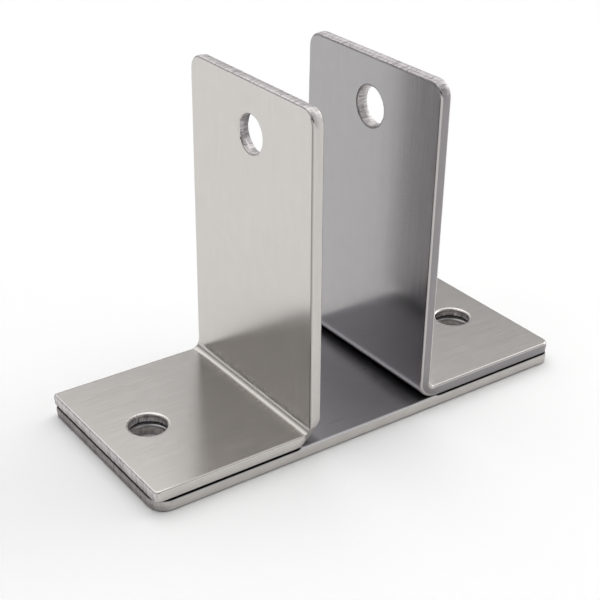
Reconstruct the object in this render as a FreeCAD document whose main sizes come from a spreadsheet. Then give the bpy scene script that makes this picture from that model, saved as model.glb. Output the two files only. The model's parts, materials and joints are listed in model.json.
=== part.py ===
"""Two-ear wall bracket for a panel: a flat backing plate and two identical bent angles.

Each angle is one sheet bent once. Its upright ear grips the panel and its foot points
outward over the end of the plate. The second angle is the first, turned half a turn.

The origin is the middle of the plate's underside, which lies on the wall. +X runs along
the plate, +Y across it and +Z away from the wall. Lengths are in millimetres.
"""
import FreeCAD, Part
import math
import os
import Sketcher

# Driving dimensions: alias, value and what it measures
SIZES = [
    ("panel_gap", 30.6, "clear distance between the ears"),
    ("strip_width", 50.0, "width of the plate and of both angles"),
    ("plate_length", 120.0, "length of the backing plate"),
    ("plate_sheet", 3.0, "thickness of the backing plate"),
    ("ear_sheet", 3.0, "thickness of the sheet that the angles are bent from"),
    ("ear_rise", 82.0, "height of an ear above the plate"),
    ("bend_inside", 1.8, "inside radius of the bend"),
    ("ear_corner", 4.0, "radius of an ear's top corners"),
    ("foot_corner", 1.5, "radius of a foot's outer corners"),
    ("plate_corner", 2.5, "radius of the plate's corners"),
    ("hole_bore", 9.0, "diameter of all four punched holes"),
    ("foot_hole_inset", 12.5, "centre of a foot's hole from the end of the plate"),
    ("ear_hole_inset", 12.5, "centre of an ear's hole from the top of the ear"),
    ("edge_round", 0.4, "rounding that tumbling leaves on the sheet edges"),
    ("rim_bevel", 0.45, "bevel that takes the burr off the rim of each hole"),
]
FOOT_REACH = "(Sizes.plate_length - Sizes.panel_gap) / 2"
TOLERANCE = 1e-4
SHARP_ANGLE = math.radians(30)


def make_sheet(doc):
    """Write the driving dimensions to a spreadsheet, one aliased row each."""
    sheet = doc.addObject("Spreadsheet::Sheet", "Sizes")
    for row, (alias, value, meaning) in enumerate(SIZES, 1):
        sheet.set(f"A{row}", alias)
        sheet.set(f"B{row}", str(value))
        sheet.set(f"C{row}", meaning)
        sheet.setAlias(f"B{row}", alias)
    doc.recompute()
    return sheet


def add_sketch(body, name, role):
    """Add a sketch on one of the body's own origin planes."""
    plane = next(item for item in body.Origin.OriginFeatures if item.Role == role)
    sketch = body.newObject("Sketcher::SketchObject", name)
    sketch.AttachmentSupport = [(plane, "")]
    sketch.MapMode = "FlatFace"
    return sketch


def drive(sketch, name, constraint, expression):
    """Add a named dimension and bind it to the sheet."""
    sketch.addConstraint(constraint)
    sketch.renameConstraint(sketch.ConstraintCount - 1, name)
    sketch.setExpression(f"Constraints.{name}", expression)


def add_pad(body, name, sketch, expression, side_type):
    pad = body.newObject("PartDesign::Pad", name)
    pad.Profile = sketch
    pad.SideType = side_type
    pad.setExpression("Length", expression)
    sketch.Document.recompute()
    return pad


def add_through_cut(body, name, sketch):
    """Punch a sketch through everything on both sides of its plane."""
    before = body.Shape.Volume
    cut = body.newObject("PartDesign::Pocket", name)
    cut.Profile = sketch
    cut.SideType = "Symmetric"
    cut.Type = "ThroughAll"
    sketch.Document.recompute()
    if cut.Shape.Volume >= before:
        raise ValueError(f"{name} removes nothing")
    return cut


def add_edge_feature(body, kind, name, base, edges, expression):
    """Add a Fillet or a Chamfer whose radius or size is bound to the sheet."""
    feature = body.newObject(f"PartDesign::{kind}", name)
    feature.Base = (base, edges)
    feature.setExpression("Radius" if kind == "Fillet" else "Size", expression)
    base.Document.recompute()
    return feature


def straight_edges(shape, direction, level):
    """Name the straight edges along one axis that lie at a level of another axis."""
    axis, height = level
    found = []
    for number, edge in enumerate(shape.Edges, 1):
        if edge.Curve.TypeId != "Part::GeomLine":
            continue
        parallel = abs(edge.Curve.Direction.dot(direction)) > 1 - TOLERANCE
        if parallel and abs(edge.CenterOfMass.dot(axis) - height) < TOLERANCE:
            found.append(f"Edge{number}")
    return found


def is_rim(edge):
    return edge.Curve.TypeId == "Part::GeomCircle" and edge.isClosed()


def is_sharp(shape, edge):
    """Tell a corner between two faces from a line where they run on smoothly."""
    faces = shape.ancestorsOfType(edge, Part.Face)
    if len(faces) != 2:
        return False
    middle = edge.valueAt((edge.FirstParameter + edge.LastParameter) / 2)
    normals = [face.normalAt(*face.Surface.parameter(middle)) for face in faces]
    return normals[0].getAngle(normals[1]) > SHARP_ANGLE


def soften(body, base):
    """Bevel the hole rims, then take the sharpness off every other sheet edge."""
    rims = [f"Edge{number}" for number, edge in enumerate(base.Shape.Edges, 1) if is_rim(edge)]
    bevelled = add_edge_feature(body, "Chamfer", "HoleRims", base, rims, "Sizes.rim_bevel")
    shape = bevelled.Shape
    sharp = [
        f"Edge{number}"
        for number, edge in enumerate(shape.Edges, 1)
        if not is_rim(edge) and is_sharp(shape, edge)
    ]
    return add_edge_feature(body, "Fillet", "SheetEdges", bevelled, sharp, "Sizes.edge_round")


def draw_plate_outline(sketch, sheet):
    """Draw the plate's rectangle, centred on the origin."""
    length, width = sheet.plate_length, sheet.strip_width
    half_length, half_width = length / 2, width / 2
    corners = [
        FreeCAD.Vector(-half_length, -half_width, 0),
        FreeCAD.Vector(half_length, -half_width, 0),
        FreeCAD.Vector(half_length, half_width, 0),
        FreeCAD.Vector(-half_length, half_width, 0),
    ]
    for index in range(4):
        sketch.addGeometry(Part.LineSegment(corners[index], corners[(index + 1) % 4]))
    for index in range(4):
        sketch.addConstraint(Sketcher.Constraint("Coincident", index, 2, (index + 1) % 4, 1))
        kind = "Horizontal" if index % 2 == 0 else "Vertical"
        sketch.addConstraint(Sketcher.Constraint(kind, index))
    sketch.addConstraint(Sketcher.Constraint("Symmetric", 0, 1, 1, 2, -1, 1))
    long_side = Sketcher.Constraint("DistanceX", 0, 1, 0, 2, length)
    drive(sketch, "length", long_side, "Sizes.plate_length")
    short_side = Sketcher.Constraint("DistanceY", 1, 1, 1, 2, width)
    drive(sketch, "width", short_side, "Sizes.strip_width")


def draw_hole(sketch, sheet, along, place, expression, name):
    """Draw one hole on the sketch's X or Y axis, at a driven distance from the origin."""
    centre = FreeCAD.Vector(place, 0, 0) if along == "X" else FreeCAD.Vector(0, place, 0)
    circle = sketch.addGeometry(Part.Circle(centre, FreeCAD.Vector(0, 0, 1), sheet.hole_bore / 2))
    axis = -1 if along == "X" else -2
    sketch.addConstraint(Sketcher.Constraint("PointOnObject", circle, 3, axis))
    first, last = ((-1, 1), (circle, 3)) if place > 0 else ((circle, 3), (-1, 1))
    spacing = Sketcher.Constraint(f"Distance{along}", *first, *last, abs(place))
    drive(sketch, f"{name}_place", spacing, expression)
    bore = Sketcher.Constraint("Diameter", circle, sheet.hole_bore)
    drive(sketch, f"{name}_bore", bore, "Sizes.hole_bore")


def build_plate(doc, sheet):
    """Backing plate: a cut strip with round corners and a hole near each end."""
    body = doc.addObject("PartDesign::Body", "BasePlate")
    body.Label = "base_plate"
    outline = add_sketch(body, "PlateOutline", "XY_Plane")
    draw_plate_outline(outline, sheet)
    slab = add_pad(body, "PlateSheet", outline, "Sizes.plate_sheet", "One side")

    along_x, along_z = FreeCAD.Vector(1, 0, 0), FreeCAD.Vector(0, 0, 1)
    ends = [
        name
        for side in (-1, 1)
        for name in straight_edges(slab.Shape, along_z, (along_x, side * sheet.plate_length / 2))
    ]
    add_edge_feature(body, "Fillet", "PlateCorners", slab, ends, "Sizes.plate_corner")

    holes = add_sketch(body, "PlateHoles", "XY_Plane")
    place = sheet.plate_length / 2 - sheet.foot_hole_inset
    for side, name in ((-1, "left"), (1, "right")):
        expression = "Sizes.plate_length / 2 - Sizes.foot_hole_inset"
        draw_hole(holes, sheet, "X", side * place, expression, name)
    punched = add_through_cut(body, "PlatePunch", holes)
    body.Tip = soften(body, punched)
    return body


def draw_angle_profile(sketch, sheet):
    """Draw the bent section, with the sharp outer corner of the bend at the origin."""
    gauge, inside = sheet.ear_sheet, sheet.bend_inside
    outside = gauge + inside
    reach = (sheet.plate_length - sheet.panel_gap) / 2
    rise = sheet.ear_rise

    def line(start, end):
        points = [FreeCAD.Vector(*start, 0), FreeCAD.Vector(*end, 0)]
        return sketch.addGeometry(Part.LineSegment(*points))

    def bend(radius):
        circle = Part.Circle(FreeCAD.Vector(outside, outside, 0), FreeCAD.Vector(0, 0, 1), radius)
        return sketch.addGeometry(Part.ArcOfCircle(circle, math.pi, 1.5 * math.pi))

    foot_under = line((outside, 0), (reach, 0))
    foot_end = line((reach, 0), (reach, gauge))
    foot_top = line((reach, gauge), (outside, gauge))
    inner_bend = bend(inside)
    ear_back = line((gauge, outside), (gauge, rise))
    ear_top = line((gauge, rise), (0, rise))
    ear_face = line((0, rise), (0, outside))
    outer_bend = bend(outside)

    for first, second in ((foot_under, foot_end), (foot_end, foot_top)):
        sketch.addConstraint(Sketcher.Constraint("Coincident", first, 2, second, 1))
    for first, second in ((ear_back, ear_top), (ear_top, ear_face)):
        sketch.addConstraint(Sketcher.Constraint("Coincident", first, 2, second, 1))
    sketch.addConstraint(Sketcher.Constraint("Tangent", foot_top, 2, inner_bend, 2))
    sketch.addConstraint(Sketcher.Constraint("Tangent", inner_bend, 1, ear_back, 1))
    sketch.addConstraint(Sketcher.Constraint("Tangent", ear_face, 2, outer_bend, 1))
    sketch.addConstraint(Sketcher.Constraint("Tangent", outer_bend, 2, foot_under, 1))
    sketch.addConstraint(Sketcher.Constraint("Coincident", inner_bend, 3, outer_bend, 3))
    for flat in (foot_under, foot_top, ear_top):
        sketch.addConstraint(Sketcher.Constraint("Horizontal", flat))
    for upright in (foot_end, ear_back, ear_face):
        sketch.addConstraint(Sketcher.Constraint("Vertical", upright))
    sketch.addConstraint(Sketcher.Constraint("PointOnObject", foot_under, 2, -1))
    sketch.addConstraint(Sketcher.Constraint("PointOnObject", ear_face, 1, -2))

    thickness = Sketcher.Constraint("DistanceY", foot_end, 1, foot_end, 2, gauge)
    drive(sketch, "gauge", thickness, "Sizes.ear_sheet")
    drive(sketch, "inside", Sketcher.Constraint("Radius", inner_bend, inside), "Sizes.bend_inside")
    foot_length = Sketcher.Constraint("DistanceX", -1, 1, foot_under, 2, reach)
    drive(sketch, "reach", foot_length, FOOT_REACH)
    height = Sketcher.Constraint("DistanceY", -1, 1, ear_face, 1, rise)
    drive(sketch, "rise", height, "Sizes.ear_rise")


def build_angle(doc, sheet, name, side):
    """Bent angle with its foot along +X, then seated on the plate at one side of the gap."""
    body = doc.addObject("PartDesign::Body", name.title().replace("_", ""))
    body.Label = name
    profile = add_sketch(body, "BentSection", "XZ_Plane")
    draw_angle_profile(profile, sheet)
    bent = add_pad(body, "BentSheet", profile, "Sizes.strip_width", "Symmetric")

    along_x, along_z = FreeCAD.Vector(1, 0, 0), FreeCAD.Vector(0, 0, 1)
    top = straight_edges(bent.Shape, along_x, (along_z, sheet.ear_rise))
    topped = add_edge_feature(body, "Fillet", "EarCorners", bent, top, "Sizes.ear_corner")
    reach = (sheet.plate_length - sheet.panel_gap) / 2
    ends = straight_edges(topped.Shape, along_z, (along_x, reach))
    add_edge_feature(body, "Fillet", "FootCorners", topped, ends, "Sizes.foot_corner")

    foot_hole = add_sketch(body, "FootHole", "XY_Plane")
    expression = f"{FOOT_REACH} - Sizes.foot_hole_inset"
    draw_hole(foot_hole, sheet, "X", reach - sheet.foot_hole_inset, expression, "foot")
    add_through_cut(body, "FootPunch", foot_hole)

    ear_hole = add_sketch(body, "EarHole", "YZ_Plane")
    expression = "Sizes.ear_rise - Sizes.ear_hole_inset"
    draw_hole(ear_hole, sheet, "Y", sheet.ear_rise - sheet.ear_hole_inset, expression, "ear")
    punched = add_through_cut(body, "EarPunch", ear_hole)
    body.Tip = soften(body, punched)

    turn = FreeCAD.Rotation(FreeCAD.Vector(0, 0, 1), 0 if side > 0 else 180)
    body.Placement = FreeCAD.Placement(FreeCAD.Vector(), turn)
    body.setExpression("Placement.Base.x", f"{side} * Sizes.panel_gap / 2")
    body.setExpression("Placement.Base.z", "Sizes.plate_sheet")
    doc.recompute()
    return body


def check(doc, bodies):
    """Stop on any failed object, loose sketch or broken solid."""
    for item in doc.Objects:
        if "Invalid" in item.State or "Error" in item.State:
            raise ValueError(f"{item.Label} failed: {item.State}")
        if item.TypeId == "Sketcher::SketchObject" and not item.FullyConstrained:
            raise ValueError(f"{item.Label} isn't fully constrained")
    for body in bodies:
        if body.Shape.isNull() or not body.Shape.isValid() or len(body.Shape.Solids) != 1:
            raise ValueError(f"{body.Label} isn't one valid solid")


def main():
    doc = FreeCAD.newDocument("WallBracket")
    sheet = make_sheet(doc)
    bodies = [
        build_plate(doc, sheet),
        build_angle(doc, sheet, "left_ear", -1),
        build_angle(doc, sheet, "right_ear", 1),
    ]
    doc.recompute()
    check(doc, bodies)
    os.makedirs("parts", exist_ok=True)
    for body in bodies:
        body.Shape.exportStep(f"parts/{body.Label}.step")
        box = body.Shape.optimalBoundingBox()
        size = " x ".join(f"{length:.2f}" for length in (box.XLength, box.YLength, box.ZLength))
        print(f"{body.Label}: {size} mm, {body.Shape.Volume / 1000:.2f} cm3")


main()
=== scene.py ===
# %% [markdown]
# # A wall bracket with two ears, in brushed stainless steel
# The real bracket is three pieces of flat bar: a backing plate and two bars that were each
# bent once into an angle. Bar steel is dressed along its long sides, sheared off at its ends
# and punched for its holes, and each of those leaves a mark that the eye reads. This
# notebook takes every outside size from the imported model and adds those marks.

import json
import math
from dataclasses import dataclass

import bmesh
import bpy
from mathutils import Matrix, Vector, noise


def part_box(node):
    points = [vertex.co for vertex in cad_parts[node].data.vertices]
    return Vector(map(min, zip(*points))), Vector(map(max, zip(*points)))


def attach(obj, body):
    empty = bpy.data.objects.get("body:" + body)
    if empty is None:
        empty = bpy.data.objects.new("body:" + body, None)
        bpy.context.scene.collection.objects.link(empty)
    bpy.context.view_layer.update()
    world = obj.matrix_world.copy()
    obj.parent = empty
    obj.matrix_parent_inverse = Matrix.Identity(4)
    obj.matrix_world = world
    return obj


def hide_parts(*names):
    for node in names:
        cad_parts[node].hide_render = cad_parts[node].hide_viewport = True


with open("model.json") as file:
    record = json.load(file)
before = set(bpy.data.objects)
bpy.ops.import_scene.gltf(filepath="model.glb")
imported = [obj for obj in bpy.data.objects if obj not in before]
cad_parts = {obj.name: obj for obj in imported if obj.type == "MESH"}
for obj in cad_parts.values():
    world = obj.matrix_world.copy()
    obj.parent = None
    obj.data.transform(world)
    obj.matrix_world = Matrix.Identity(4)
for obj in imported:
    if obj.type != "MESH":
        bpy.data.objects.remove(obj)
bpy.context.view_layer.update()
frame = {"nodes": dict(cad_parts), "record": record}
MM = 0.001
print("packed pieces:", sorted(frame["nodes"]))

# %% [markdown]
# ## Sizes
# The frame gives the outside sizes and the mounts give the holes, so only what a box can't
# tell is written here: the thickness of the bar, its bend and its corners. All lengths are
# in millimetres, and the last step of each mesh turns them to metres.

# %% Read the driving sizes
plate_low, plate_high = (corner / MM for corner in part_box("base_plate"))
ear_low, ear_high = (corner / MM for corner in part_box("right_ear"))
mounts = {mount["name"]: mount for mount in frame["record"]["mounts"]}

STRIP_WIDTH = plate_high.y - plate_low.y
PLATE_LENGTH = plate_high.x - plate_low.x
PLATE_SHEET = plate_high.z
PANEL_GAP = 2 * ear_low.x
EAR_TOP = ear_high.z
HOLE_RADIUS = mounts["panel_bolt"]["dims"]["r_mm"]
EAR_HOLE_HEIGHT = mounts["panel_bolt"]["pos_m"][2] / MM
FOOT_HOLE_PLACE = mounts["wall_screws"]["dims"]["spacing_x_mm"] / 2
print(f"plate {PLATE_LENGTH:.1f} x {STRIP_WIDTH:.1f} x {PLATE_SHEET:.1f}, gap {PANEL_GAP:.1f}")

# %% [markdown]
# ## The bar when it is flat
# A bent bar is cut to length before the press bends it, so its flat length counts. Steel
# stretches on the outside of a bend and is crowded on the inside. In between lies a line
# that keeps its length, at 0.45 of the thickness from the inside, and the bend is as long
# as that line.

# %% Work out the flat length of an angle
EAR_SHEET = 3.0
BEND_INSIDE = 1.8
NEUTRAL_SHARE = 0.45
bend_centre_x = PANEL_GAP / 2 + EAR_SHEET + BEND_INSIDE
bend_centre_z = PLATE_SHEET + EAR_SHEET + BEND_INSIDE
foot_run = PLATE_LENGTH / 2 - bend_centre_x
arc_run = math.pi / 2 * (BEND_INSIDE + NEUTRAL_SHARE * EAR_SHEET)
ear_run = EAR_TOP - bend_centre_z
angle_length = foot_run + arc_run + ear_run
print(f"flat length of an angle {angle_length:.1f} mm, of which {arc_run:.1f} mm is the bend")

# %% [markdown]
# ## How a sheet piece is meshed
# A bent piece could be cut out with booleans, but that leaves slivers and no room for rough
# edges. Here each piece is drawn flat, as the shop draws it: u runs along the bar, v across
# it, and depth goes in from the face that carries the finish. A coarse grid fills the flat
# faces. The outline and the holes are fine chains of points that each know the way out of
# the steel, so that one profile can be swept round them. The bend comes last.
#
# Rims, grids and the bend are all measured along lines, so the first helper spaces stops.

# %% Even stops along a line
NEARLY = 1e-6


def stops(values, step):
    """Even stops that hit every given value and are no further apart than step."""
    line = [values[0]]
    for start, end in zip(values, values[1:]):
        count = max(1, math.ceil(abs(end - start) / step - NEARLY))
        line += [start + (end - start) * (index + 1) / count for index in range(count)]
    return line


print("stops from 0 over 2 to 3, at most 1.5 apart:", stops([0, 2, 3], 1.5))

# %% [markdown]
# ## The outline
# The outline is a rectangle with round corners, walked once. Its points are 0.35 mm apart,
# because a sheared end carries marks about that wide. Each point also says how sheared it
# is: 1 on the ends of the bar, 0 on its long sides, and in between round a corner.

# %% Walk the outline
RIM_STEP = 0.35
ARC_STEPS = 12


def walk_outline(length, width, radii, bend_stops):
    """List (u, v, way out in u, way out in v, sheared) once round from the lower side."""
    half = width / 2
    centres = [
        (radii[0], radii[0] - half),
        (length - radii[1], radii[1] - half),
        (length - radii[2], half - radii[2]),
        (radii[3], half - radii[3]),
    ]
    points = []
    for side in range(4):
        (u0, v0), (u1, v1) = centres[side], centres[(side + 1) % 4]
        radius = radii[(side + 1) % 4]
        facing = math.radians(90 * side - 90)
        out_u, out_v = round(math.cos(facing)), round(math.sin(facing))
        is_end = side % 2
        if is_end:
            line = [(out_u * radius + u1, v) for v in stops([v0, v1], RIM_STEP)]
        else:
            through = [u for u in bend_stops if min(u0, u1) < u < max(u0, u1)]
            through = sorted([u0, *through, u1], reverse=u0 > u1)
            line = [(u, out_v * radius + v1) for u in stops(through, RIM_STEP)]
        points += [(u, v, out_u, out_v, is_end) for u, v in line]
        for step in range(1, ARC_STEPS):
            share = step / ARC_STEPS
            angle = facing + share * math.pi / 2
            way_u, way_v = math.cos(angle), math.sin(angle)
            sheared = 1 - share if is_end else share
            points.append((u1 + radius * way_u, v1 + radius * way_v, way_u, way_v, sheared))
    return points


plate_walk = walk_outline(PLATE_LENGTH, STRIP_WIDTH, [2.5] * 4, ())
print(len(plate_walk), "points round a bar as long as the plate")

# %% [markdown]
# ## A hole
# A hole is the same kind of chain on a circle, and its way out of the steel points to its
# middle. Its points lie closer than those of the outline, because of the fine teeth that a
# punch leaves on the wall.

# %% Walk a hole
HOLE_POINTS = 120


def walk_hole(centre_u, centre_v, radius, sheared):
    """List a hole's rim as the outline is listed. The way out of the steel is inwards."""
    points = []
    for index in range(HOLE_POINTS):
        angle = 2 * math.pi * index / HOLE_POINTS
        way_u, way_v = math.cos(angle), math.sin(angle)
        u, v = centre_u + radius * way_u, centre_v + radius * way_v
        points.append((u, v, -way_u, -way_v, sheared))
    return points


print(f"points round a hole are {2 * math.pi * HOLE_RADIUS / HOLE_POINTS:.2f} mm apart")

# %% [markdown]
# ## Cut edges
# A shear or a punch first draws the surface in (roll-over), then cuts a smooth band and last
# tears the rest off, a little short and rough. Tumbling then rounds both rims. The long
# sides of the bar are only dressed, so they are smooth and slightly crowned.
#
# Two sheets that touch leave a slit between their round rims. It lets in no light, so it reads as a
# black line, and its rims get painted shade. A shader can't know where another sheet lies, so each
# cut lists the stretches where its rims get painted shade. A bump map could fake all of this, but
# it would vanish at the outline, where it shows most.

# %% Describe a cut
# A rim is (front in, front down, back in, back up). A stretch is (low u, high u, darkness).
BEND_RIM = (0.7, 0.9, 0.7, 0.9)


@dataclass
class Cut:
    """How one chain of points was cut, and where painted shade darkens it."""
    rounding: tuple
    seed: float
    die_taper: float = 0.15
    is_punched: bool = False
    torn_look: float = 0.8
    side_inset: float = 0.0
    bend_rim: tuple = BEND_RIM
    # Where the rims get painted shade, and how dark it is
    front_shade_stretches: tuple = ()
    back_shade_stretches: tuple = ()
    dark_rim: tuple = ()
    dark_side: float = 0.0
    bend_end_shade: float = 0.0
    groove_shade: float = 0.0
    slit_shade: float = 0.0


# %% [markdown]
# ## The torn wall
# The line where a cut turns into a tear wanders up and down, and the tool leaves grooves
# along its stroke. Together they give a punched hole its toothed look. All three kinds of
# noise are measured along the chain in millimetres, so the teeth are as wide on a hole as
# on an end.

# %% Shape of a torn wall
TEAR_PITCH = 0.85
TEAR_HEIGHT = 0.42
TEAR_WANDER = 0.16
TEAR_BLEND = 0.1
STREAK_PITCH = 0.5
GRIT_PITCH = 0.3
GRIT_DEPTH = 0.08
GRIT_ROWS = 8
GRIT_SEED = 7
TORN_STEP = 0.06
PUNCHED_TOOTH = 0.22
SHEARED_TOOTH = 0.09


def smooth_step(value):
    """Ease from 0 to 1 while value goes from 0 to 1."""
    value = min(max(value, 0.0), 1.0)
    return value * value * (3 - 2 * value)


def streak_at(walked, share, seed):
    """How deep the tool left its mark here, mostly between 0.25 and 0.75."""
    return 0.5 + 0.5 * noise.noise((walked / STREAK_PITCH, seed, 0.5 * share))


def torn_inset(walked, share, cut):
    """How far a sheared wall lies back, at a share of its height below the finished face."""
    tear_line = TEAR_HEIGHT + TEAR_WANDER * noise.noise((walked / TEAR_PITCH, cut.seed, 0))
    torn = smooth_step((share - tear_line) / TEAR_BLEND)
    grit = 0.5 + 0.5 * noise.noise((walked / GRIT_PITCH, cut.seed + GRIT_SEED, GRIT_ROWS * share))
    below = max(share - tear_line, 0)
    tooth_depth = PUNCHED_TOOTH if cut.is_punched else SHEARED_TOOTH
    tooth = tooth_depth * streak_at(walked, share, cut.seed)
    return tooth + torn * (TORN_STEP + GRIT_DEPTH * grit + cut.die_taper * below)


deepest = max(torn_inset(walked, 1.0, Cut(BEND_RIM, 0.0)) for walked in range(int(STRIP_WIDTH)))
print(f"the foot of a sheared wall lies up to {deepest:.2f} mm back")

# %% [markdown]
# ## What changes along the bar
# Two things depend on the place along the bar. The bend is felt a little beyond its ends, where it
# widens the rims and roughens the skin. A stretch of painted shade fades in at its ends.

# %% Reach of the bend and of dark stretches
BEND_LEAD = 2.0
SHADE_FADE = 1.6


def bend_share(u, bend_stops):
    """How much of the bend is felt at u: 1 in its middle, 0 a little way beyond its ends."""
    if not bend_stops:
        return 0.0
    start, end = bend_stops[0] - BEND_LEAD, bend_stops[-1] + BEND_LEAD
    if not start < u < end:
        return 0.0
    return math.sin(math.pi * (u - start) / (end - start)) ** 2


def darkness_at(u, stretches):
    """How dark a rim is at u, from stretches that fade in at their ends."""
    dark = 0.0
    for low, high, full in stretches:
        inside = min(u - low, high - u) / SHADE_FADE
        dark = max(dark, full * min(max(inside, 0.0), 1.0))
    return dark


print("bend felt at its end:", round(bend_share(0, [0, arc_run]), 2))

# %% [markdown]
# ## The profile of an edge
# One function gives the whole profile at a point of a chain: a flat ring, the front rim, the wall,
# the back rim and a flat ring again. The flat rings end all painted shade, which would otherwise
# spread over the long triangles beside them. Every ring has an inset, a depth and a painted shade
# value from 0 for clean to 1 for black.

# %% Profile of an edge
ROUND_STEPS = 5
WALL_STEPS = 9
FLAT_MARGIN = 0.15
SIDE_CROWN = 0.12
SHEARED_KEEPS = 0.5
# Painted dark reflection on the rims through a pinched bend
BEND_SHADE_FROM, BEND_SHADE_RUN = 0.4, 0.3
GROOVE_FROM, GROOVE_RUN = 0.5, 0.2
SLIT_SHARE = 0.12


def edge_profile(point, walked, thickness, cut, bent):
    """List (inset, depth, painted shade) from the front face over the edge to the back face."""
    u, sheared = point[0], point[4]
    front_in, front_down, back_in, back_up = (
        flat + (rolled - flat) * bent for flat, rolled in zip(cut.rounding, cut.bend_rim)
    )
    top, bottom = front_down, thickness - back_up
    # Painted shade on the rims: slits between sheets, contact lines and the near-edge line
    shade_share = 1 - SHEARED_KEEPS * sheared
    front_shade = darkness_at(u, cut.front_shade_stretches) * shade_share
    back_shade = darkness_at(u, cut.back_shade_stretches) * shade_share
    is_dark_side = sheared < 0.5 and point[3] * cut.dark_side > 0
    dark_line = darkness_at(u, cut.dark_rim) if is_dark_side else 0.0
    bend_end_shade = cut.bend_end_shade * smooth_step((bent - BEND_SHADE_FROM) / BEND_SHADE_RUN)

    def wall(share):
        crown = SIDE_CROWN * (2 * share - 1) ** 2
        torn = torn_inset(walked, share, cut) if sheared else 0
        return sheared * torn + (1 - sheared) * (cut.side_inset + crown)

    profile = [(wall(0) + front_in + FLAT_MARGIN, 0, 0.0)]
    for step in range(ROUND_STEPS):
        angle = math.pi / 2 * step / ROUND_STEPS
        inset, depth = wall(0) + front_in * (1 - math.sin(angle)), top * (1 - math.cos(angle))
        fade = 1 - step / ROUND_STEPS
        profile.append((inset, depth, max(front_shade * fade, dark_line * fade, bend_end_shade)))
    for step in range(WALL_STEPS + 1):
        share = step / WALL_STEPS
        groove = smooth_step((streak_at(walked, share, cut.seed) - GROOVE_FROM) / GROOVE_RUN)
        # Painted shade in the grooves of a punched wall, and at the slit below it
        at_slit = cut.slit_shade if share > 1 - SLIT_SHARE else 0.0
        painted_shade = max(bend_end_shade, cut.groove_shade * groove, at_slit)
        profile.append((wall(share), top + (bottom - top) * share, painted_shade))
    for step in range(1, ROUND_STEPS + 1):
        angle = math.pi / 2 * step / ROUND_STEPS
        inset, depth = wall(1) + back_in * (1 - math.cos(angle)), bottom + back_up * math.sin(angle)
        profile.append((inset, depth, max(back_shade * step / ROUND_STEPS, bend_end_shade)))
    profile.append((wall(1) + back_in + FLAT_MARGIN, thickness, 0.0))
    return profile


example = edge_profile((0, 0, 1, 0, 1), 0.0, PLATE_SHEET, Cut(BEND_RIM, 0.0), 0.0)
print(f"{len(example)} rings round an edge, the last {example[-1][0]:.2f} mm in")

# %% [markdown]
# ## Sweep the profile
# The profile is put at every point of a chain, and neighbours are joined with quads. Each
# ring also keeps how much it looks like cut steel: all of it on the wall, none on the flat
# rings, and a little on the rims. A rim that a punch drew in still carries the brushed face.

# %% Sweep an edge
RIM_LOOK = 0.25
DRAWN_RIM_LOOK = 0.3


def cut_look(level, last, sheared, is_punched):
    """How much a ring of the profile looks like cut steel."""
    if level < 2 or level > last - 2:
        return 0.0
    if ROUND_STEPS < level <= ROUND_STEPS + WALL_STEPS + 1:
        return 1.0
    if is_punched and level <= ROUND_STEPS:
        return DRAWN_RIM_LOOK
    return max(RIM_LOOK, sheared)


def sweep_edge(mesh, points, thickness, cut, layers, bend_stops):
    """Sweep the edge profile round a closed chain and return its first and last ring."""
    rings = None
    walked = 0.0
    for index, (u, v, out_u, out_v, sheared) in enumerate(points):
        bent = bend_share(u, bend_stops)
        profile = edge_profile(points[index], walked, thickness, cut, bent)
        if rings is None:
            rings = [[] for _ in profile]
        for level, (inset, depth, painted_shade) in enumerate(profile):
            vertex = mesh.verts.new((u - out_u * inset, v - out_v * inset, -depth))
            vertex[layers["cut"]] = cut_look(level, len(profile) - 1, sheared, cut.is_punched)
            vertex[layers["sheared"]] = float(sheared)
            vertex[layers["painted_shade"]] = painted_shade
            rings[level].append(vertex)
        after = points[(index + 1) % len(points)]
        walked += math.hypot(after[0] - u, after[1] - v)
    count = len(points)
    for upper, lower in zip(rings, rings[1:]):
        for index in range(count):
            after = (index + 1) % count
            mesh.faces.new((upper[index], upper[after], lower[after], lower[index]))
    return rings[0], rings[-1]


looks = [cut_look(level, len(example) - 1, 0, False) for level in range(len(example))]
print("rings of a dressed side that look cut:", looks.count(1.0), "of", len(looks))

# %% [markdown]
# ## Lace the chains to the grid
# A fine chain has many more points than the grid beside it, so the strip between them is
# laced: walking both at once, each triangle takes the shorter of the two possible diagonals.
# A fill operator would do it too, but picks its triangles without regard to their shape.

# %% Lace two chains
def lace(mesh, coarse, fine):
    """Fill the flat strip between two closed chains that run the same way."""
    begin = min(range(len(fine)), key=lambda k: (fine[k].co - coarse[0].co).length_squared)
    fine = fine[begin:] + fine[:begin]
    near, far = 0, 0
    while near < len(coarse) or far < len(fine):
        a, b = coarse[near % len(coarse)], fine[far % len(fine)]
        a_next, b_next = coarse[(near + 1) % len(coarse)], fine[(far + 1) % len(fine)]
        coarse_turn = (a_next.co - b.co).length_squared < (b_next.co - a.co).length_squared
        if far >= len(fine) or (near < len(coarse) and coarse_turn):
            mesh.faces.new((a, a_next, b))
            near += 1
        else:
            mesh.faces.new((a, b_next, b))
            far += 1


trial = bmesh.new()
square = [trial.verts.new((x, y, 0)) for x, y in ((7, 7), (-7, 7), (-7, -7), (7, -7))]
rim = [trial.verts.new((u, v, 0)) for u, v, *_ in walk_hole(0, 0, HOLE_RADIUS, 1)]
lace(trial, square, rim)
print("triangles between a square and a hole:", len(trial.faces))
trial.free()

# %% [markdown]
# ## A coarse grid for the flat faces
# A flat face needs few vertices, so its grid is up to 6 mm wide. Round each hole it leaves a
# square free, cut in three on each side so that the lacing runs evenly. In the bend its
# lines are as close as the points of the outline, because there it has to follow an arc.

# %% Lay out the grid
GRID_STEP = 6.0
HOLE_SQUARE = 7.2
BEND_CLEAR = 1.0


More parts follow.
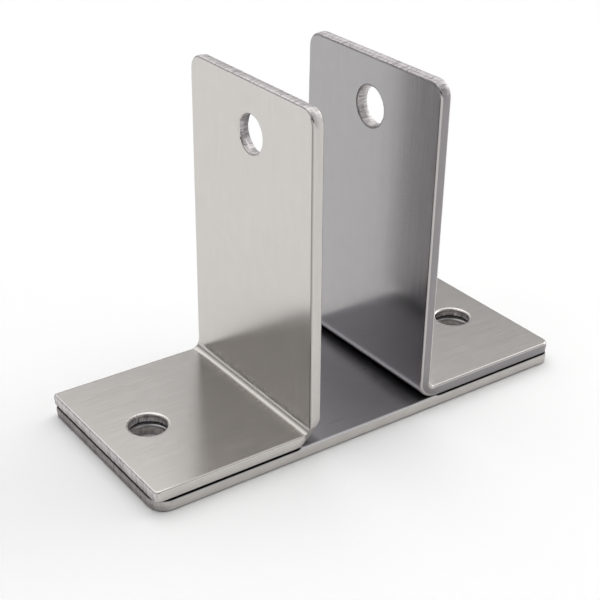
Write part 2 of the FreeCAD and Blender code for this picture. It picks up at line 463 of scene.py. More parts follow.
def grid_lines(low, high, holes, bend_stops, extra_stops=()):
    """Grid stops that frame each hole with a square cut in three, and are fine in the bend."""
    keys = {low, high, *extra_stops}
    for place in holes:
        keys |= {place + HOLE_SQUARE * share for share in (-1, -1 / 3, 1 / 3, 1)}
    flat = stops(sorted(keys), GRID_STEP)
    if not bend_stops:
        return flat
    low_bend, high_bend = bend_stops[0] - BEND_CLEAR, bend_stops[-1] + BEND_CLEAR
    return sorted([*(u for u in flat if not low_bend < u < high_bend), *bend_stops])


def grid_ring(us, vs, low_u, high_u, low_v, high_v):
    """List the grid places round a rectangle, the same way as the outline is walked."""
    inner_u = [i for i, u in enumerate(us) if low_u - NEARLY <= u <= high_u + NEARLY]
    inner_v = [j for j, v in enumerate(vs) if low_v - NEARLY <= v <= high_v + NEARLY]
    ring = [(i, inner_v[0]) for i in inner_u[:-1]]
    ring += [(inner_u[-1], j) for j in inner_v[:-1]]
    ring += [(i, inner_v[-1]) for i in reversed(inner_u[1:])]
    ring += [(inner_u[0], j) for j in reversed(inner_v[1:])]
    return ring


def grid_face(mesh, us, vs, depth, holes):
    """Fill a flat face but for a square round each hole. Return the vertex of each place."""
    def in_square(u, v, edge):
        reach = HOLE_SQUARE + edge
        return any(max(abs(u - hole_u), abs(v - hole_v)) < reach for hole_u, hole_v in holes)

    places = {}
    for i, u in enumerate(us):
        for j, v in enumerate(vs):
            if not in_square(u, v, -NEARLY):
                places[i, j] = mesh.verts.new((u, v, -depth))
    for i, (u0, u1) in enumerate(zip(us, us[1:])):
        for j, (v0, v1) in enumerate(zip(vs, vs[1:])):
            if not in_square((u0 + u1) / 2, (v0 + v1) / 2, 0):
                corners = ((i, j), (i + 1, j), (i + 1, j + 1), (i, j + 1))
                mesh.faces.new([places[corner] for corner in corners])
    return places


print("grid lines across a bar with a hole:", len(grid_lines(-20, 20, [0], ())))

# %% [markdown]
# ## One bar, still flat
# The flat piece is put together from two grids, the swept outline, the swept holes and the
# laced strips between them. Six layers keep what the material has to know of each vertex.

# %% Mesh a bar as it is drawn
GRID_MARGIN = 0.6


@dataclass
class Bar:
    """A bar drawn flat, and the functions that place it and say where its faces get painted shade.
    """
    name: str
    length: float
    thickness: float
    radii: list
    holes: list
    cuts: list
    place: object
    wedge_shade: object
    bend_stops: tuple = ()
    extra_stops: tuple = ()


def mesh_flat(bar):
    """Mesh a bar as it is drawn. Return the mesh and its layers."""
    mesh = bmesh.new()
    kinds = mesh.verts.layers
    layers = {key: kinds.float_vector.new(key) for key in ("flat_place", "across_grain")}
    layers.update({key: kinds.float.new(key) for key in ("cut", "sheared", "painted_shade", "bent")})
    half = STRIP_WIDTH / 2
    margin = max(bar.radii) + GRID_MARGIN
    holes_u, holes_v = zip(*bar.holes)
    us = grid_lines(margin, bar.length - margin, holes_u, bar.bend_stops, bar.extra_stops)
    vs = grid_lines(margin - half, half - margin, holes_v, ())

    outline = walk_outline(bar.length, STRIP_WIDTH, bar.radii, bar.bend_stops)
    rims = [sweep_edge(mesh, outline, bar.thickness, bar.cuts[0], layers, bar.bend_stops)]
    rings = [grid_ring(us, vs, us[0], us[-1], vs[0], vs[-1])]
    for (u, v), cut in zip(bar.holes, bar.cuts[1:]):
        chain = walk_hole(u, v, HOLE_RADIUS, cut.torn_look)
        rims.append(sweep_edge(mesh, chain, bar.thickness, cut, layers, ()))
        square = (u - HOLE_SQUARE, u + HOLE_SQUARE, v - HOLE_SQUARE, v + HOLE_SQUARE)
        rings.append(grid_ring(us, vs, *square))
    for side, depth in enumerate((0, bar.thickness)):
        places = grid_face(mesh, us, vs, depth, bar.holes)
        for ring, rim in zip(rings, rims):
            lace(mesh, [places[key] for key in ring], rim[side])
    return mesh, layers


print(f"the grid starts {GRID_MARGIN} mm inside the corners of a bar")

# %% [markdown]
# ## From the flat bar to its place
# Before a vertex moves, its flat place is kept. The brushing follows the bar round its bend,
# so the material reads that place and not the one in the room. The way across the grain is
# found by placing two points on either side. Normals weighted by area keep the flat faces
# flat beside their finely cut rims.

# %% Build a bar
GRAIN_PROBE = 0.01
NORMAL_WEIGHT = 80


def place_vertices(mesh, layers, bar):
    """Keep each vertex's flat place, grain and painted shade, then move it where the bar is used.
    """
    for vertex in mesh.verts:
        u, v, depth = vertex.co.x, vertex.co.y, -vertex.co.z
        ahead, behind = (bar.place(u, v + probe, depth) for probe in (GRAIN_PROBE, -GRAIN_PROBE))
        vertex[layers["flat_place"]] = vertex.co * MM
        vertex[layers["across_grain"]] = (ahead - behind).normalized()
        vertex[layers["bent"]] = bend_share(u, bar.bend_stops)
        # Painted shade in the wedge where a bend meets the plate
        vertex[layers["painted_shade"]] = max(vertex[layers["painted_shade"]], bar.wedge_shade(u, depth))
        vertex.co = bar.place(u, v, depth) * MM


def build_bar(bar):
    """Mesh a bar, bend it into place and put it in the scene."""
    mesh, layers = mesh_flat(bar)
    place_vertices(mesh, layers, bar)
    bmesh.ops.recalc_face_normals(mesh, faces=mesh.faces)
    for face in mesh.faces:
        face.smooth = True
    open_edges = sum(1 for edge in mesh.edges if len(edge.link_faces) != 2)
    data = bpy.data.meshes.new(bar.name)
    mesh.to_mesh(data)
    mesh.free()
    piece = bpy.data.objects.new(bar.name, data)
    bpy.context.scene.collection.objects.link(piece)
    normals = piece.modifiers.new("flat_faces_stay_flat", "WEIGHTED_NORMAL")
    normals.mode = "FACE_AREA"
    normals.weight = NORMAL_WEIGHT
    print(f"{bar.name}: {len(data.polygons)} faces, {open_edges} open edges")
    return piece


# %% [markdown]
# ## The backing plate
# A length of bar with a screw hole near each end. Its front left corner was dressed by hand
# to a larger radius than the others. Drawn flat it already lies as it is used, so its place
# function only moves the origin to the middle of its underside.
#
# Its screw holes sit under those of the feet, with a wide, shiny roll-over that shows as a pale
# crescent below a black slit of painted shade. Where a bend comes down on the plate, the narrow
# wedge between the two gets painted shade, from a little before the bend to where it touches down.
# A few lines of the grid lie there, so that the painted shade can fade.

# %% Where the plate gets painted shade
PLATE_SHADE_SHORT = 0.2
BEYOND_ENDS = 2
WEDGE_DARKNESS = 0.22
WEDGE_BEFORE = 1.5
WEDGE_RUN = 2.7
WEDGE_END = 5
WEDGE_LINES = (-WEDGE_BEFORE, -0.5, 0.5, 1.2, WEDGE_END)
ON_FACE = 0.01

foot_covers = foot_run - PLATE_SHADE_SHORT
# Painted shade on the plate's top rim under each foot, where the two sheets touch
under_feet = (
    (-BEYOND_ENDS, foot_covers, 1.0),
    (PLATE_LENGTH - foot_covers, PLATE_LENGTH + BEYOND_ENDS, 1.0),
)
# Painted contact shadow along the plate's bottom rim, where it stands
on_wall = ((-BEYOND_ENDS, PLATE_LENGTH + BEYOND_ENDS, 1.0),)
wedge_stops = [
    PLATE_LENGTH / 2 + side * (PANEL_GAP / 2 + beyond)
    for side in (-1, 1)
    for beyond in WEDGE_LINES
]


def plate_wedge_shade(u, depth):
    """Painted shade on the finished face, in the wedge below each bend."""
    beyond = abs(u - PLATE_LENGTH / 2) - PANEL_GAP / 2
    if depth > ON_FACE or beyond > WEDGE_END:
        return 0.0
    return WEDGE_DARKNESS * smooth_step((beyond + WEDGE_BEFORE) / WEDGE_RUN)


print(f"each foot covers {foot_covers:.1f} mm of the plate")

# %% [markdown]
# ## The plate and its cuts
# The outline of the plate was tumbled. The rims of its holes were drawn in by the punch as
# well, so they are rounded twice as wide. Both holes get the same cut with a seed of their
# own, because no two tears are alike.

# %% Build the plate
PLATE_CORNER = 2.4
DRESSED_CORNER = 4.4
PLATE_RIM = (0.45, 0.45, 0.4, 0.35)
SUNK_RIM = (0.9, 0.7, 0.45, 0.45)


def place_plate(u, v, depth):
    """Move a flat place to the plate, with the origin in the middle of its underside."""
    return Vector((u - PLATE_LENGTH / 2, v, PLATE_SHEET - depth))


plate = build_bar(Bar(
    name="backing_plate",
    length=PLATE_LENGTH,
    thickness=PLATE_SHEET,
    radii=[DRESSED_CORNER, PLATE_CORNER, PLATE_CORNER, PLATE_CORNER],
    holes=[(PLATE_LENGTH / 2 + side * FOOT_HOLE_PLACE, 0) for side in (-1, 1)],
    cuts=[
        Cut(PLATE_RIM, 3.0, front_shade_stretches=under_feet, back_shade_stretches=on_wall),
        # Painted shade in the grooves of the plate's holes
        Cut(SUNK_RIM, 11.0, is_punched=True, torn_look=0.5, groove_shade=0.14),
        Cut(SUNK_RIM, 12.0, is_punched=True, torn_look=0.5, groove_shade=0.14),
    ],
    place=place_plate,
    wedge_shade=plate_wedge_shade,
    extra_stops=tuple(wedge_stops),
))

# %% [markdown]
# ## The bend
# The two faces of a bend are arcs about one centre, so a point only has to know its angle
# and its depth. At the two ends of the bend the crowded inside bulges sideways and the
# stretched outside is drawn in. That pinch is what shows on a bent bar, and without it the
# bend looks cast. A curve or simple deform modifier would bend the mesh as well, but would
# keep no pinch and no exact radius.
#
# No hand bender hits a right angle exactly. The left ear leans out by 0.4 degrees, a little
# more at the back than at the front, and its near edge is skewed by one degree. These three
# are angles in radians.

# %% Bend a flat place
BEND_BULGE = 0.12
BEND_PINCH = {"left_ear": 1.9, "right_ear": 0.35}
PINCH_REACH = 2.2
LEAN = 0.00725
LEAN_TWIST = -0.00175
SKEW = 0.0175


def pinched(u, v, depth, node):
    """How far v moves at the ends of the bend: out on the inside face, in on the outside."""
    near_end = math.exp(-(STRIP_WIDTH / 2 - abs(v)) / PINCH_REACH)
    stretched = depth / EAR_SHEET
    amount = BEND_BULGE * (1 - stretched) - BEND_PINCH[node] * stretched
    side = 1 if v > 0 else -1
    return side * bend_share(u, [foot_run, foot_run + arc_run]) * near_end * amount


def place_angle(u, v, depth, node):
    """Move a flat place onto the right angle, or onto the left one, turned half a turn."""
    v += pinched(u, v, depth, node)
    if u <= foot_run:
        x, z = PLATE_LENGTH / 2 - u, bend_centre_z - BEND_INSIDE - depth
    elif u <= foot_run + arc_run:
        angle = math.pi / 2 * (u - foot_run) / arc_run
        radius = BEND_INSIDE + depth
        x, z = bend_centre_x - radius * math.sin(angle), bend_centre_z - radius * math.cos(angle)
    else:
        x, z = bend_centre_x - BEND_INSIDE - depth, bend_centre_z + u - foot_run - arc_run
    if node == "right_ear":
        return Vector((x, v, z))
    rise, side = max(z - bend_centre_z, 0), v / (STRIP_WIDTH / 2)
    x += (LEAN + LEAN_TWIST * side) * rise
    v -= SKEW * rise * max(side, 0) ** 2
    return Vector((-x, -v, z))


print(f"bend of {BEND_INSIDE:.1f} mm inside and {BEND_INSIDE + EAR_SHEET:.1f} mm outside")

# %% [markdown]
# ## How the angles are cut
# Both angles are the same bar with different luck. Under a foot the back rims meet the plate, and
# they and the wall of its hole end in a black slit of painted shade. Painted shade lies in the
# grooves of the punched walls and round the gap side of an ear's hole, and the gap-side rim of the
# sheared top is darker. The left bend was pinched harder: its rims through the bend carry a painted
# dark reflection, and a painted shade line runs up the near edge of the ear. The outside of both
# bends gets painted shade where it turns down to the plate.

# %% Cuts of an angle
ANGLE_RIM = (0.5, 0.55, 0.5, 0.55)
PINCHED_RIM = (0.3, 0.3, 0.6, 0.8)
ROLLED_RIM = (0.65, 0.5, 0.45, 0.45)
HOLE_TAPER = 0.4
FOOT_SHADE_SHORT = 0.3
SHADED_UP_TO = 0.85
SHADED_FADE = 0.35
# Painted shade on the foot's back rims, where they meet the plate
on_plate = ((-BEYOND_ENDS, foot_run - FOOT_SHADE_SHORT, 1.0),)
# A darker line along the gap-side rim of the sheared top
top_rim_line = ((angle_length - BEYOND_ENDS, angle_length + BEYOND_ENDS, 0.35),)
# Painted shade round the gap side of the ear hole
hole_shade_ring = ((foot_run + arc_run, angle_length, 0.45),)
# Painted shade line up the near edge of the left ear
near_shade_line = ((foot_run + 0.6 * arc_run, angle_length, 0.3),)
# A pinched bend gets a painted dark reflection on its rims and a painted shade line up the near
# edge
pinched_bend = {"bend_rim": PINCHED_RIM, "dark_rim": near_shade_line, "dark_side": 1.0, "bend_end_shade": 0.2}


def angle_cuts(node):
    """The cuts of an angle's outline, foot hole and ear hole."""
    seed = {"left_ear": 20.0, "right_ear": 40.0}[node]
    bend = pinched_bend if node == "left_ear" else {}
    outline = Cut(
        ANGLE_RIM, seed, side_inset=BEND_BULGE, back_shade_stretches=on_plate + top_rim_line, **bend
    )
    # Painted shade in the grooves of the holes, and at the slit under the foot's hole
    foot_hole = Cut(
        ROLLED_RIM, seed + 1, HOLE_TAPER, is_punched=True, back_shade_stretches=on_plate,
        groove_shade=0.22, slit_shade=0.6,
    )
    ear_hole = Cut(
        ROLLED_RIM, seed + 2, HOLE_TAPER, is_punched=True, back_shade_stretches=hole_shade_ring,
        groove_shade=0.16,
    )
    return [outline, foot_hole, ear_hole]


def bend_wedge_shade(u, depth):
    """Painted shade on the outside of the bend, where it turns down to the plate."""
    share = (u - foot_run) / arc_run
    if depth <= EAR_SHEET - ON_FACE or share <= 0:
        return 0.0
    return WEDGE_DARKNESS * smooth_step((SHADED_UP_TO - share) / SHADED_FADE)


print("each angle has", len(angle_cuts("left_ear")), "cut chains")

# %% [markdown]
# ## Two angles from one bar
# The second angle is the first turned half a turn. The corners of the feet were dressed by
# hand and differ: the left foot's back corner stayed crisp, and the right foot's front one
# is worn round.

# %% Build both angles
EAR_CORNER = 4.0
FOOT_CORNER = 1.5
FIRST_CORNER = {"left_ear": 1.0, "right_ear": 2.4}
bend_stops = stops([foot_run, foot_run + arc_run], RIM_STEP)
angles = {}
for node in ("left_ear", "right_ear"):
    angles[node] = build_bar(Bar(
        name=f"bent_{node}",
        length=angle_length,
        thickness=EAR_SHEET,
        radii=[FIRST_CORNER[node], EAR_CORNER, EAR_CORNER, FOOT_CORNER],
        holes=[
            (PLATE_LENGTH / 2 - FOOT_HOLE_PLACE, 0),
            (angle_length - (EAR_TOP - EAR_HOLE_HEIGHT), 0),
        ],
        cuts=angle_cuts(node),
        place=lambda u, v, depth, node=node: place_angle(u, v, depth, node),
        wedge_shade=bend_wedge_shade,
        bend_stops=tuple(bend_stops),
    ))

# %% [markdown]
# ## Colours
# A hex value is a colour as a screen shows it, and shaders calculate with light. One
# function turns the first into the second, so that every colour in the notebook stays
# readable as the shade that the eye would pick.

# %% Turn colours to linear
def linear(hex_colour):
    """Turn an sRGB hex value into the linear colour that shaders take."""
    parts = [int(hex_colour[index:index + 2], 16) / 255 for index in (0, 2, 4)]
    levels = [
        part / 12.92 if part <= 0.04045 else ((part + 0.055) / 1.055) ** 2.4 for part in parts
    ]
    return (*levels, 1.0)


print("middle grey 808080 in light:", round(linear("808080")[0], 3))

# %% [markdown]
# ## Nodes by function
# A material is a small graph, and written out it is mostly lines that add a node, set it and
# link it. This function does the three at once. An input that is given a socket is linked,
# and any other value is set on the socket itself.

# %% Add a node
def add(tree, kind, inputs=None, **settings):
    """Add one node, set its properties, and set or link its inputs."""
    node = tree.nodes.new(kind)
    for name, value in settings.items():
        setattr(node, name, value)
    for name, value in (inputs or {}).items():
        if isinstance(value, bpy.types.NodeSocket):
            tree.links.new(value, node.inputs[name])
        else:
            node.inputs[name].default_value = value
    return node


# %% [markdown]
# ## Steps that every material repeats
# Nearly all of the graph is made of three steps: a ramp that turns a measure into a share, a
# mix of two colours and a sum. With a function for each, the materials below read as what
# they do to the steel. A mix node has sockets of one name for numbers and colours, so its
# colour sockets are called by their places.

# %% Ramp, mix and combine
MIX_SHARE, MIX_FROM, MIX_TO, MIX_RESULT = 0, 6, 7, 2


def ramp(tree, value, span, levels=(0.0, 1.0)):
    """Turn a value that runs over a span into one that runs from one level to the other."""
    inputs = {"Value": value, "From Min": span[0], "From Max": span[1]}
    inputs.update({"To Min": levels[0], "To Max": levels[1]})
    return add(tree, "ShaderNodeMapRange", inputs).outputs["Result"]


def mix(tree, share, first, second):
    """Mix two colours by a share. Each is a hex value or a socket."""
    first, second = (linear(side) if isinstance(side, str) else side for side in (first, second))
    inputs = {MIX_SHARE: share, MIX_FROM: first, MIX_TO: second}
    return add(tree, "ShaderNodeMix", inputs, data_type="RGBA").outputs[MIX_RESULT]


def combine(tree, operation, *values, is_clamped=False):
    """Do one step of arithmetic on numbers and sockets."""
    inputs = dict(enumerate(values))
    node = add(tree, "ShaderNodeMath", inputs, operation=operation, use_clamp=is_clamped)
    return node.outputs["Value"]


print("a mix takes its colours at inputs", MIX_FROM, "and", MIX_TO)

# %% [markdown]
# ## Brushed stainless steel
# A belt has drawn fine scratches along the bar. Each scratch mirrors the room as a line
# across it, so reflections are smeared across the grain and stay sharp along it. In the
# shader that is a high anisotropic value, with the direction across the grain as tangent.
# Chromium steel is a little warm and mirrors about six tenths of the light.
#
# A real scratch is a few hundredths of a millimetre wide and would vanish in the picture,
# so the fine ones are drawn 0.3 mm wide and 16 mm long. Broad ones and a cloudy tone of
# 4 mm keep large faces from looking even. Noise is the cheapest way to all of them: it has
# no edges, and stretching it along the flat bar makes scratches of it.

# %% Marks and finishes
# Sizes in mm along the bar, across it and in depth
FINE_SCRATCH = (16.0, 0.3, 0.3)
BROAD_SCRATCH = (40.0, 1.4, 1.4)
TOOTH_MARK = (0.42, 0.42, 4.5)
CLOUD_SIZE = 4.0
SCRATCH_DETAIL, TOOTH_DETAIL, CLOUD_DETAIL = 3.0, 2.0, 4.0


@dataclass
class Finish:
    """The look of one batch of bar. Its colours are sRGB hex values."""
    name: str
    thickness: float
    face: str
    torn: str
    groove: str
    roughness: float
    grain_depth: float
    has_dull_side: bool


def noise_along(tree, flat, sizes, detail):
    """Noise on the flat bar whose marks have the given sizes."""
    scale = tuple(1 / (size * MM) for size in sizes)
    place = add(tree, "ShaderNodeMapping", {"Vector": flat, "Scale": scale})
    marks = {"Vector": place.outputs["Vector"], "Scale": 1.0, "Detail": detail}
    return add(tree, "ShaderNodeTexNoise", marks).outputs["Fac"]


print(f"fine scratches {FINE_SCRATCH[1]} mm wide, broad ones {BROAD_SCRATCH[1]} mm")

# %% [markdown]
# ## The colour of an edge
# The long sides were dressed and are as pale as the faces, but one side of each ear bar is
# duller. On the right ear it is the near side. The left ear is turned round, so there it is
# the far one. A sheared end shows torn steel, grooved along the stroke of the tool and
# darker below the tear line, about halfway down. The mesh says where the steel is sheared,
# and the colours are mixed by that.

# %% Colour of an edge
DRESSED_SIDE = "CCC8C4"
DULL_SIDE = "959294"
DULL_FADE = (1 * MM, -1 * MM)
GROOVE_SPAN = (0.48, 0.7)
TEAR_SHARES = (-0.5, -0.6)
TORN_SHADE = 0.25


def edge_colour(tree, marks, parts, finish):
    """Colour of the dressed sides and the torn ends, mixed by how sheared the steel is."""
    is_dull = ramp(tree, parts["Y"], DULL_FADE, (0.0, float(finish.has_dull_side)))
    side = mix(tree, is_dull, DRESSED_SIDE, DULL_SIDE)
    tooth = noise_along(tree, marks["flat_place"], TOOTH_MARK, TOOTH_DETAIL)
    is_groove = ramp(tree, tooth, GROOVE_SPAN)
    tear_line = [share * finish.thickness * MM for share in TEAR_SHARES]
    is_torn = ramp(tree, parts["Z"], tear_line, (0.0, TORN_SHADE))
    darkness = combine(tree, "ADD", is_groove, is_torn, is_clamped=True)
    torn = mix(tree, darkness, finish.torn, finish.groove)
    return mix(tree, marks["sheared"], side, torn)


dressed, dull = (linear(shade)[0] for shade in (DRESSED_SIDE, DULL_SIDE))
print(f"a dressed side mirrors {dressed:.2f} of the light, a dull one {dull:.2f}")

# %% [markdown]
# ## The colour of the steel
# The gap side of the bar is a darker, cooler grey than the finished face. Scratches and clouds
# shift the tone by a twentieth at most, because on metal the eye reads more as stains. Painted
# shade and painted dark reflection, on slits, wedges and dark rims, cover everything else and come
# last.

# %% Colour of the steel
GAP_FACE = "A9A7A8"
# Colour of painted shade, laid over slits, wedges and dark rims
PAINTED_SHADE_COLOUR = "121012"
SCRATCH_WEIGHT = 2.0
TONE_SPAN = (0.9, 2.1)
TONE_LEVELS = (0.95, 1.05)
PAINTED_SHADE_SPAN = (0.05, 0.4)


def steel_colour(tree, marks, parts, fine, is_back, finish):
    """Colour of the faces and edges, with scratches, clouds and painted shade."""
    face = mix(tree, is_back, finish.face, GAP_FACE)
    plain = mix(tree, marks["cut"], face, edge_colour(tree, marks, parts, finish))
    cloud = add(tree, "ShaderNodeTexNoise", {
        "Vector": marks["flat_place"], "Scale": 1 / (CLOUD_SIZE * MM), "Detail": CLOUD_DETAIL})
    tone = combine(tree, "MULTIPLY_ADD", fine, SCRATCH_WEIGHT, cloud.outputs["Fac"])
    shade = ramp(tree, tone, TONE_SPAN, TONE_LEVELS)
    clean = add(tree, "ShaderNodeVectorMath", {0: plain, "Scale": shade}, operation="SCALE")
    return mix(tree, ramp(tree, marks["painted_shade"], PAINTED_SHADE_SPAN), clean.outputs["Vector"], PAINTED_SHADE_COLOUR)


print(f"the gap side mirrors {linear(GAP_FACE)[0]:.2f} of the light")

# %% [markdown]
# ## How rough the steel is
# The scratches change the roughness a little. The gap side is smoother than the finished
# face. Where the bar was bent its skin has stretched and is rougher, and cut steel is the
# roughest of all.

# %% Roughness of the steel
SCRATCH_SPAN = (0.3, 0.7)
GAP_FACE_ROUGHER = -0.05
BENT_ROUGHER = 0.18
CUT_ROUGHER = 0.2


def steel_roughness(tree, marks, fine, is_back, finish):
    """Roughness from the scratches, the side of the bar, the bend and the cuts."""
    middle, depth = finish.roughness, finish.grain_depth
    broad = noise_along(tree, marks["flat_place"], BROAD_SCRATCH, SCRATCH_DETAIL)
    grain = ramp(tree, fine, SCRATCH_SPAN, (middle - depth, middle + depth))
    streaky = ramp(tree, broad, SCRATCH_SPAN, (-depth / 2, depth / 2))
    rough = combine(tree, "ADD", grain, streaky)
    rough = combine(tree, "MULTIPLY_ADD", is_back, GAP_FACE_ROUGHER, rough)
    rough = combine(tree, "MULTIPLY_ADD", marks["bent"], BENT_ROUGHER, rough)
    return combine(tree, "MULTIPLY_ADD", marks["cut"], CUT_ROUGHER, rough)


print(f"bent skin is rougher by {BENT_ROUGHER:.2f}, cut steel by {CUT_ROUGHER:.2f}")

# %% [markdown]
# ## The two steels
# Both finishes share one graph, so that they stay one family. The plate is a shade cooler
# and rougher than the ears, its grain is calmer and its ends are darker. The gap side starts
# a little above the back face, so that the back rim belongs to it.

# %% Make the materials
ANISOTROPY = 0.85
GAP_SIDE_ABOVE = (0.3, 0.02)
VECTOR_MARKS = ("flat_place", "across_grain")
VALUE_MARKS = ("cut", "sheared", "painted_shade", "bent")


def brushed_stainless(finish):
    """Stainless steel whose scratches run along the bar."""
    material = bpy.data.materials.new(finish.name)
    material.use_nodes = True
    tree = material.node_tree
    tree.nodes.clear()
    marks = {}
    for names, output in ((VECTOR_MARKS, "Vector"), (VALUE_MARKS, "Fac")):
        for name in names:
            attribute = add(tree, "ShaderNodeAttribute", attribute_name=name)
            marks[name] = attribute.outputs[output]
    parts = add(tree, "ShaderNodeSeparateXYZ", {"Vector": marks["flat_place"]}).outputs
    gap_side = [(above - finish.thickness) * MM for above in GAP_SIDE_ABOVE]
    is_back = ramp(tree, parts["Z"], gap_side)
    fine = noise_along(tree, marks["flat_place"], FINE_SCRATCH, SCRATCH_DETAIL)
    shader = add(tree, "ShaderNodeBsdfPrincipled", {
        "Base Color": steel_colour(tree, marks, parts, fine, is_back, finish),
        "Metallic": 1.0,
        "Roughness": steel_roughness(tree, marks, fine, is_back, finish),
        "Anisotropic": ANISOTROPY,
        "Tangent": marks["across_grain"],
    })
    add(tree, "ShaderNodeOutputMaterial", {"Surface": shader.outputs["BSDF"]})
    return material


ear_steel = brushed_stainless(Finish(
    "brushed_stainless_ears", EAR_SHEET, face="CCC8C4", torn="D6D1D2", groove="918B8D",
    roughness=0.2, grain_depth=0.02, has_dull_side=True,
))
plate_steel = brushed_stainless(Finish(
    "brushed_stainless_plate", PLATE_SHEET, face="CFCED2", torn="A8A3A3", groove="625D5C",
    roughness=0.28, grain_depth=0.006, has_dull_side=False,
))
print("materials:", ear_steel.name, plate_steel.name)

# %% [markdown]
# ## Hand the pieces to the model
# Nothing on the bracket moves, so all three pieces ride on its one body. Each takes the
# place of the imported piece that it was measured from.

# %% Ride
for piece, node, slot, steel in (
    (plate, "base_plate", "plate_steel", plate_steel),
    (angles["left_ear"], "left_ear", "ear_steel", ear_steel),
    (angles["right_ear"], "right_ear", "ear_steel", ear_steel),
):
    piece.data.materials.append(steel)
    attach(piece, "root")
    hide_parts(node)
    print(piece.name, "replaces", node)

# %% [markdown]
# ## Camera
# The view stands in front, to the left and above, about 0.32 m away with a long lens. Its
# place and aim were fitted to the straight edges of the bracket, in millimetres. The
# picture was taken very slightly out of level, so the frame is rolled by 1.2 degrees.

# %% Camera
CAMERA_PLACE = Vector((-173.38, -231.33, 178.79))
CAMERA_AIM = Vector((-6.44, -3.31, 28.51))
CAMERA_ROLL = math.radians(1.202)
LENS, FRAME_WIDTH = 79.5, 36.0
forward = (CAMERA_AIM - CAMERA_PLACE).normalized()
level = forward.cross(Vector((0, 0, 1))).normalized()
upright = level.cross(forward)
sideways = level * math.cos(CAMERA_ROLL) + upright * math.sin(CAMERA_ROLL)
rolled_up = sideways.cross(forward)
camera = bpy.data.objects.new("camera", bpy.data.cameras.new("camera"))
camera.data.lens = LENS
camera.data.sensor_width = FRAME_WIDTH
camera.data.clip_start = 0.01
camera.matrix_world = Matrix((sideways, rolled_up, -forward)).transposed().to_4x4()
camera.location = CAMERA_PLACE * MM
bpy.context.scene.collection.objects.link(camera)
bpy.context.scene.camera = camera
print(f"camera {(CAMERA_AIM - CAMERA_PLACE).length:.0f} mm from where it aims")

# %% [markdown]
# ## Paper sweep
# The bracket stands on white paper that lies flat around it and rises slowly further out,
# so that a low view still looks at paper. A plane would end in a horizon, and the lamps
# above it would show.

# %% Shape of the paper
# Radius and height of each ring, in metres
PAPER_RINGS = ((0.6, 0.0), (3.0, 0.7))
PAPER_SIDES = 64
paper_places = []
for radius, height in PAPER_RINGS:
    for index in range(PAPER_SIDES):
        angle = 2 * math.pi * index / PAPER_SIDES
        paper_places.append((radius * math.cos(angle), radius * math.sin(angle), height))
paper_faces = [tuple(range(PAPER_SIDES))]
for index in range(PAPER_SIDES):
    after = (index + 1) % PAPER_SIDES
    paper_faces.append((index, index + PAPER_SIDES, after + PAPER_SIDES, after))
floor_mesh = bpy.data.meshes.new("floor")
floor_mesh.from_pydata(paper_places, [], paper_faces)
floor = bpy.data.objects.new("floor", floor_mesh)
bpy.context.scene.collection.objects.link(floor)
print("paper reaches", PAPER_RINGS[-1][0], "m")

# %% [markdown]
# ## White paper
# The paper is matt, and pure white where it is seen or mirrored. The light that it throws
# back on the bracket is a fifth less, which keeps the shadows deep. A light path node tells
# the two apart, so one material does for both.

# %% Look of the paper
paper = bpy.data.materials.new("white_paper")
paper.use_nodes = True
paper_tree = paper.node_tree
paper_tree.nodes.clear()
path = add(paper_tree, "ShaderNodeLightPath")
tone = mix(paper_tree, path.outputs["Is Diffuse Ray"], "FFFFFF", "E6E6E6")
diffuse = add(paper_tree, "ShaderNodeBsdfDiffuse", {"Color": tone})
add(paper_tree, "ShaderNodeOutputMaterial", {"Surface": diffuse.outputs["BSDF"]})
floor_mesh.materials.append(paper)
print("floor is", paper.name)

# %% [markdown]
# ## A tent of light
# Metal shows its room more than itself. The bracket is lit as by a tent of white cloth with
# soft lamps behind it: each patch is brightest in its middle and fades as a power of the
# cosine, so that no lamp has an edge to be mirrored. Area lamps would do as well, but
# brushed faces can show their corners. The strengths were fitted together, so that each
# face gets its own tone: the steel mirrors all of them at once, and no patch belongs to one
# face alone. The strongest stands on the right, 30 degrees up.

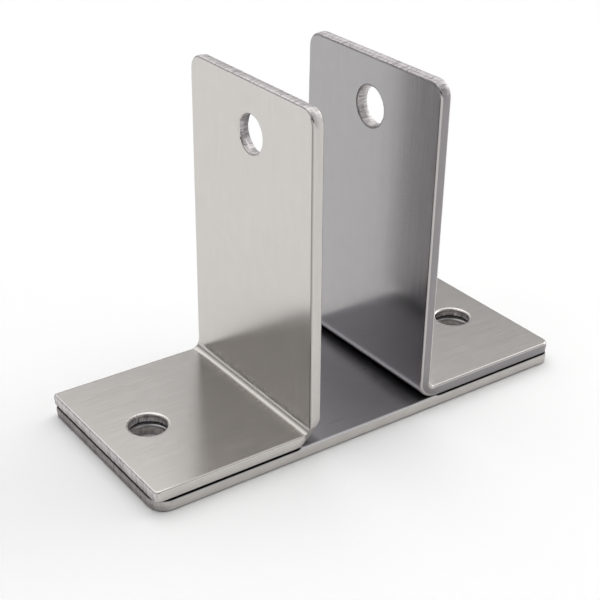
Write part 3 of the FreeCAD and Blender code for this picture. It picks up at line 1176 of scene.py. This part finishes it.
# %% Light
# Azimuth and elevation in degrees, how narrow the patch is, and its strength
LIGHT_PATCHES = [
    (300, 6, 20, 0.5),
    (330, 6, 20, 0.2),
    (0, 30, 18, 3.6),
    (30, 30, 18, 0.1),
    (60, 30, 18, 0.09),
    (90, 30, 18, 0.6),
    (120, 30, 18, 0.1),
    (180, 30, 18, 0.25),
    (300, 30, 18, 0.4),
    (45, 58, 14, 1.7),
    (90, 58, 14, 1.1),
    (135, 58, 14, 0.8),
    (180, 58, 14, 1.25),
    (315, 58, 14, 0.5),
    (0, 88, 12, 0.8),
]
LIGHT_LEVEL = 1.02
HORIZON_LEVEL = 0.7
HORIZON_FADE = 6.0
world = bpy.data.worlds.new("light_tent")
world.use_nodes = True
bpy.context.scene.world = world
tent = world.node_tree
tent.nodes.clear()
looking = add(tent, "ShaderNodeTexCoord").outputs["Generated"]
total = 0.0
for azimuth, elevation, narrow, strength in LIGHT_PATCHES:
    turn, rise = math.radians(azimuth), math.radians(elevation)
    middle = (math.cos(turn) * math.cos(rise), math.sin(turn) * math.cos(rise), math.sin(rise))
    facing = add(tent, "ShaderNodeVectorMath", {0: looking, 1: middle}, operation="DOT_PRODUCT")
    ahead = combine(tent, "MAXIMUM", facing.outputs["Value"], 0.0)
    patch = combine(tent, "POWER", ahead, narrow)
    total = combine(tent, "MULTIPLY_ADD", patch, strength * LIGHT_LEVEL, total)
print("patches of light:", len(LIGHT_PATCHES))

# %% [markdown]
# ## The cloth between the lamps
# The cloth also glows by itself, most near the horizon. Without it the steel would mirror
# black between the lamps. The Standard transform shows the light as it is and keeps white
# paper white, where a film look would turn it grey.

# %% Glow of the cloth
up = add(tent, "ShaderNodeSeparateXYZ", {"Vector": looking}).outputs["Z"]
glow = combine(tent, "POWER", combine(tent, "SUBTRACT", 1.0, up), HORIZON_FADE)
lit = combine(tent, "MULTIPLY_ADD", glow, HORIZON_LEVEL, total)
cloth = add(tent, "ShaderNodeBackground", {"Color": (1, 1, 1, 1), "Strength": lit})
add(tent, "ShaderNodeOutputWorld", {"Surface": cloth.outputs["Background"]})
bpy.context.scene.view_settings.view_transform = "Standard"
print("cloth glows", HORIZON_LEVEL, "at the horizon")
